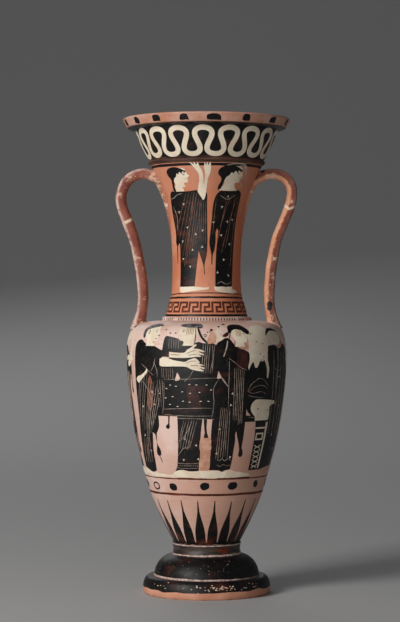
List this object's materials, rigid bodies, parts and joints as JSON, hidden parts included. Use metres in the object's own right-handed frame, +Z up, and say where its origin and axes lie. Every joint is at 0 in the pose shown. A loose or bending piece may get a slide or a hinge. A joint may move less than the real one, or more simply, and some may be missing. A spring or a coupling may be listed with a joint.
{
  "type": "amphora",
  "caption": "Tall slender neck-amphora with a flaring mouth, looped side handles from neck to shoulder, a tapering painted body and a stepped foot.",
  "frame": {"origin": "centre of the foot's resting ring, on the ground", "axes": "+Z up the vessel's axis; the handles lie on the X axis, left handle at -X; the front figures face -Y"},
  "size_m": [0.1884, 0.1728, 0.49],
  "materials": {
    "foot_gloss": "glossy black slip, worn at the edges",
    "body_slip": "burnished pinkish clay with painted black figures",
    "ring_clay": "burnished reserved clay",
    "neck_clay": "burnished orange clay with painted figures",
    "moulding_clay": "burnished clay, dark line below",
    "mouth_gloss": "glossy black slip with a raised cream snake",
    "lip_clay": "reserved clay face with black blots",
    "handle_paint": "matt purple-red paint, rubbed",
    "fill_plaster": "matt tinted plaster fill"
  },
  "bodies": {
    "root": {"foot_disc": "foot_gloss", "foot_torus": "foot_gloss", "foot_fillet": "foot_gloss", "body": "body_slip", "shoulder_ring": "ring_clay", "neck": "neck_clay", "neck_moulding": "moulding_clay", "mouth": "mouth_gloss", "lip": "lip_clay", "left_handle_upper": "handle_paint", "left_handle_fill": "fill_plaster", "left_handle_lower": "handle_paint", "right_handle_upper": "handle_paint", "right_handle_fill": "fill_plaster", "right_handle_lower": "handle_paint"}
  },
  "joints": []
}
